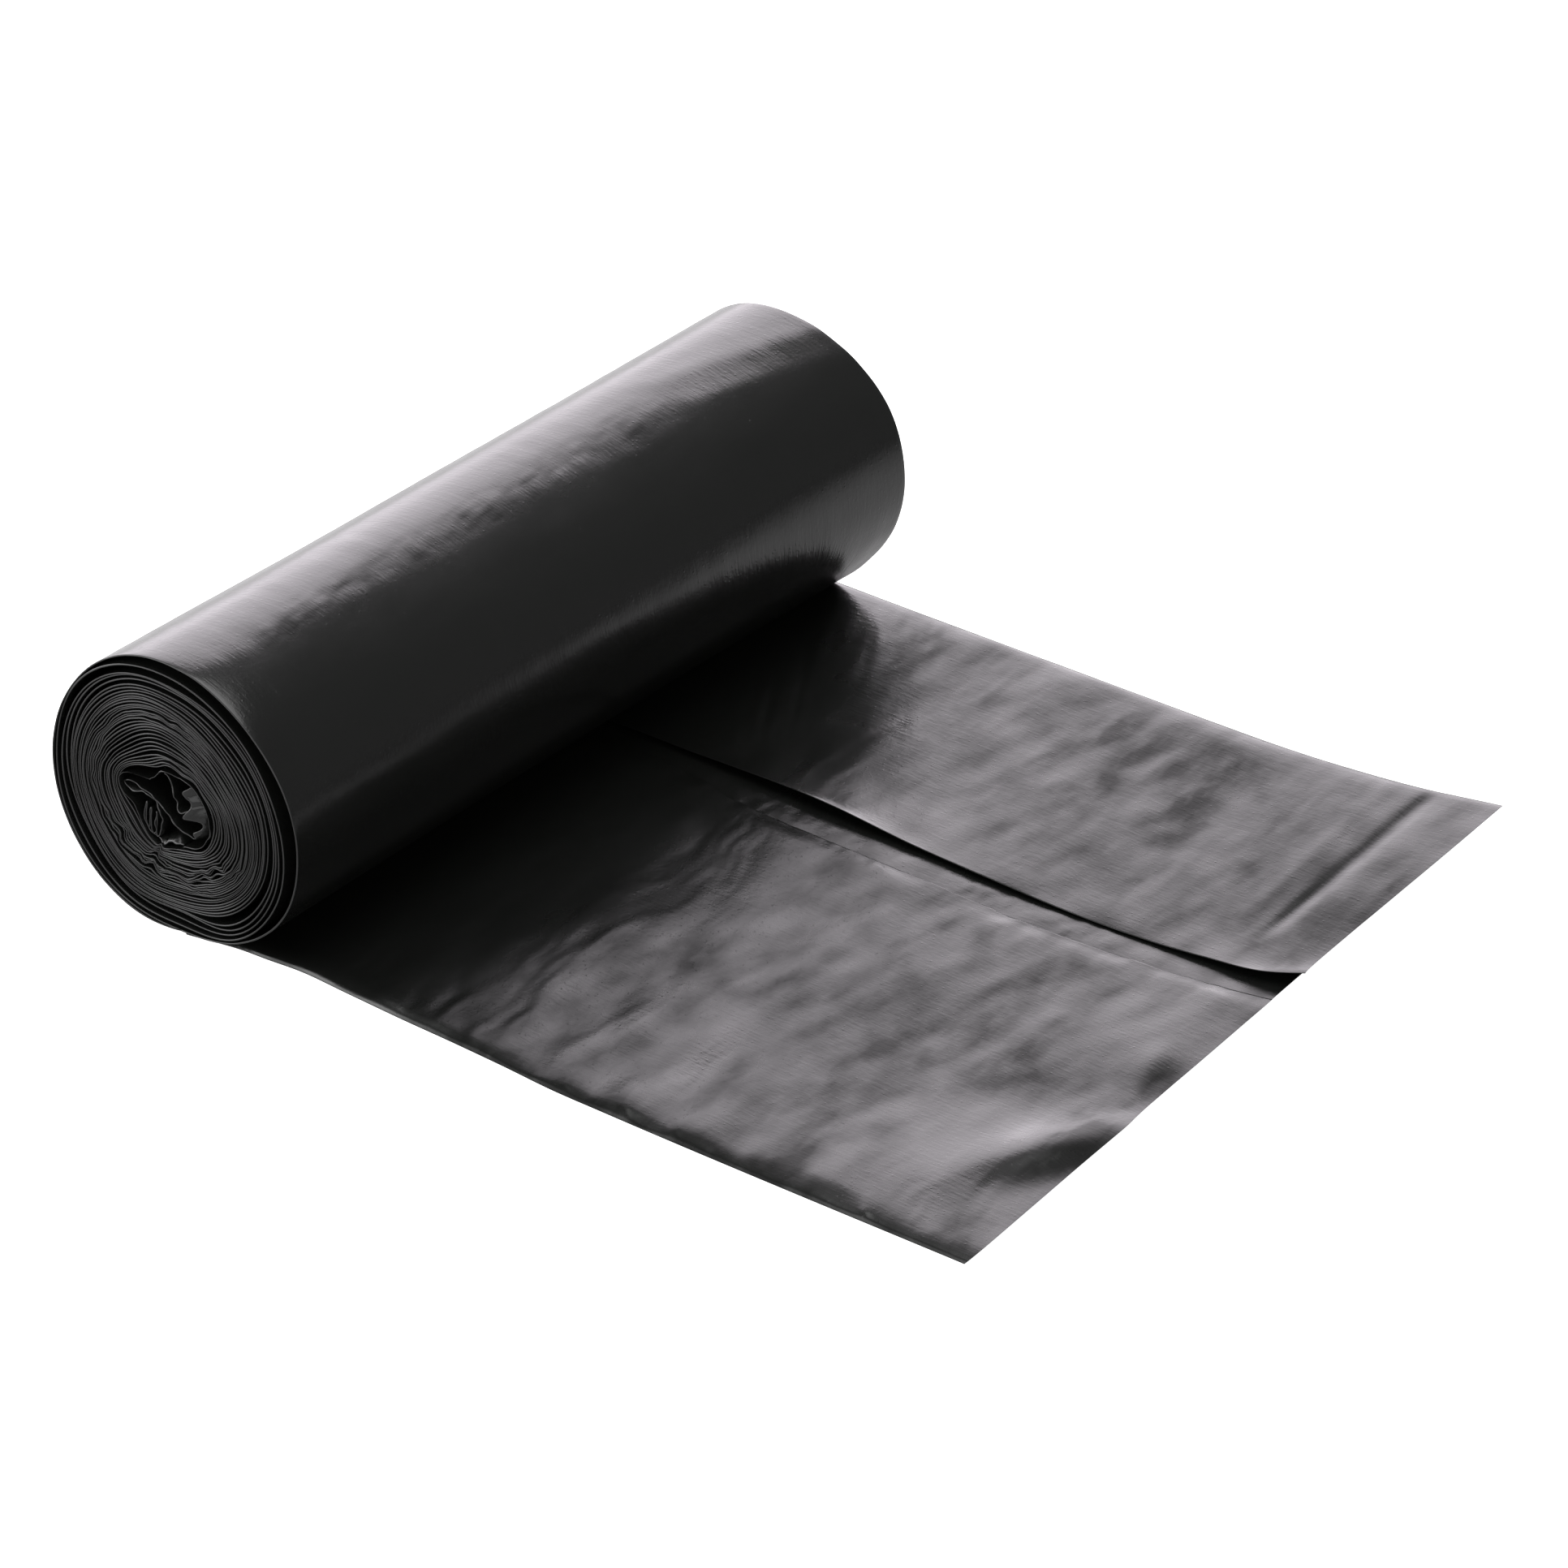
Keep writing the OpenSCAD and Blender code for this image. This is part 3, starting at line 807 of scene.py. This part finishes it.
def film_material():
    """Glossy black film: rougher and less glossy where it is dull, with the skin's relief."""
    material = bpy.data.materials.new("black_film")
    material.use_nodes = True
    tree = material.node_tree
    shader = tree.nodes["Principled BSDF"]
    place = add_node(tree, "ShaderNodeTexCoord").outputs["Object"]
    rubbed = add_node(tree, "ShaderNodeAttribute", attribute_name="dull").outputs["Fac"]
    bloom = noise(tree, place, (0.6, 1.1, 1), 110, 8)
    dull = combine(tree, "MULTIPLY", bring(tree, bloom, 0.3, 0.7, 0.65, 1.35), rubbed)
    gloss = noise(tree, place, (0.4, 1, 1), 70, 4)
    roughness = combine(tree, "ADD", bring(tree, gloss, 0.0, 1.0, 0.17, 0.30),
                        combine(tree, "MULTIPLY", dull, 0.12))
    level = bring(tree, dull, 0.0, 1.0, 0.55, 0.12)
    bump = add_node(tree, "ShaderNodeBump", {"Strength": 1.0, "Distance": MM,
                                             "Height": relief(tree, place)})
    tree.links.new(roughness, shader.inputs["Roughness"])
    tree.links.new(level, shader.inputs["Specular IOR Level"])
    tree.links.new(bump.outputs[0], shader.inputs["Normal"])
    shader.inputs["Base Color"].default_value = (0.0042, 0.0045, 0.0041, 1)
    return material


film = film_material()
for piece in (tail, outer_turn, inner_turns, hollow_film):
    piece.data.materials.append(film)
    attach(piece, "root")
    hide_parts("bag_roll")

# %% [markdown]
# ## Floor and light
#
# The film shows its surroundings more than its own colour, so the light is designed as what the
# film mirrors: a wide soft screen behind the roll, which the roll's top and the flat tail reflect,
# a second one to the left of it, a dark front, a bright ceiling over the floor, and a soft fill for
# the near end. The screens are smooth windows of direction in the world's light. The floor is
# overexposed for the camera, and for everything else it is pale behind the roll and near it, and
# dark further out in front.

# %% Studio
SCREENS = (   # azimuth from, to, edge; elevation from, to, edge, in degrees; colour; strength
    ("back screen", (16, 76, 10), (-20, 42, 7), (1.0, 0.94, 1.0), 3.3),
    ("left screen", (76, 150, 10), (-20, 30, 12), (1.0, 1.0, 1.0), 3.0),
    ("ceiling", (-400, 400, 10), (62, 100, 8), (1.0, 1.0, 1.0), 3.2),
    ("end fill", (120, 260, 25), (-20, 44, 16), (1.0, 1.0, 1.0), 1.3))
DIM = 0.215
FLOOR_SIDE = 12.0        # in metres


def add_window(tree, value, low, high, edge):
    """1 between low and high, falling smoothly to 0 over the edge at both sides."""
    rise = add_node(tree, "ShaderNodeMapRange", {"Value": value, "From Min": low - edge / 2,
                                                 "From Max": low + edge / 2},
                    interpolation_type="SMOOTHSTEP")
    fall = add_node(tree, "ShaderNodeMapRange", {"Value": value, "From Min": high - edge / 2,
                                                 "From Max": high + edge / 2, "To Min": 1.0,
                                                 "To Max": 0.0}, interpolation_type="SMOOTHSTEP")
    return combine(tree, "MULTIPLY", rise.outputs[0], fall.outputs[0])


def light_world():
    """White for the camera. For all else, the screens: each is a window of azimuth times a window
    of elevation, worked out from the direction of the light, over a dim even light."""
    world = bpy.data.worlds.new("studio")
    bpy.context.scene.world = world
    world.use_nodes = True
    tree = world.node_tree
    way = add_node(tree, "ShaderNodeSeparateXYZ",
                   {0: add_node(tree, "ShaderNodeTexCoord").outputs["Generated"]}).outputs
    height = combine(tree, "DEGREES", combine(tree, "ARCSINE", way["Z"]))
    side = combine(tree, "DEGREES", combine(tree, "ARCTAN2", way["Y"], way["X"]))
    whole = add_node(tree, "ShaderNodeMath", {0: side, 1: 360.0, 2: 0.0},
                     operation="WRAP").outputs[0]
    total = (DIM, DIM, DIM)
    for name, azimuth, elevation, colour, strength in SCREENS:
        across = whole if azimuth[1] > 180 and azimuth[0] > 0 else side
        shape = combine(tree, "MULTIPLY", add_window(tree, across, *azimuth),
                        add_window(tree, height, *elevation))
        part = add_node(tree, "ShaderNodeVectorMath",
                        {0: tuple(strength * c for c in colour), "Scale": shape},
                        operation="SCALE", name=name).outputs[0]
        total = add_node(tree, "ShaderNodeVectorMath", {0: part, 1: total},
                         operation="ADD").outputs[0]
    seen = add_node(tree, "ShaderNodeLightPath").outputs["Is Camera Ray"]
    plain = add_node(tree, "ShaderNodeMix", {"Factor": seen, "A": total, "B": (1.0, 1.0, 1.0)},
                     data_type="VECTOR")
    tree.links.new(plain.outputs["Result"], tree.nodes["Background"].inputs["Color"])


def floor_material():
    """White for the camera, and diffuse for all else: pale behind the roll and near it."""
    material = bpy.data.materials.new("pale_floor")
    material.use_nodes = True
    tree = material.node_tree
    shader = tree.nodes["Principled BSDF"]
    place = add_node(tree, "ShaderNodeTexCoord").outputs["Object"]
    reach = add_node(tree, "ShaderNodeVectorMath", {0: place}, operation="LENGTH").outputs["Value"]
    behind = add_node(tree, "ShaderNodeSeparateXYZ", {0: place}).outputs["Y"]
    pale = combine(tree, "MAXIMUM", bring(tree, reach, 0.3, 0.85, 0.52, 0.08),
                   bring(tree, behind, 0.05, 0.15, 0.0, 0.85))
    seen = add_node(tree, "ShaderNodeLightPath").outputs["Is Camera Ray"]
    shader.inputs["Roughness"].default_value = 0.9
    shader.inputs["Specular IOR Level"].default_value = 0.0
    shader.inputs["Emission Color"].default_value = (1, 1, 1, 1)
    tree.links.new(pale, shader.inputs["Base Color"])
    tree.links.new(seen, shader.inputs["Emission Strength"])
    return material


def lay_floor():
    """A square floor at the height that the roll rests on."""
    mesh = bpy.data.meshes.new("floor")
    half = FLOOR_SIDE / 2
    corners = [(-half, -half, 0), (half, -half, 0), (half, half, 0), (-half, half, 0)]
    mesh.from_pydata(corners, [], [(0, 1, 2, 3)])
    floor = bpy.data.objects.new("floor", mesh)
    bpy.context.scene.collection.objects.link(floor)
    mesh.materials.append(floor_material())


light_world()
lay_floor()
bpy.context.scene.view_settings.view_transform = "Standard"
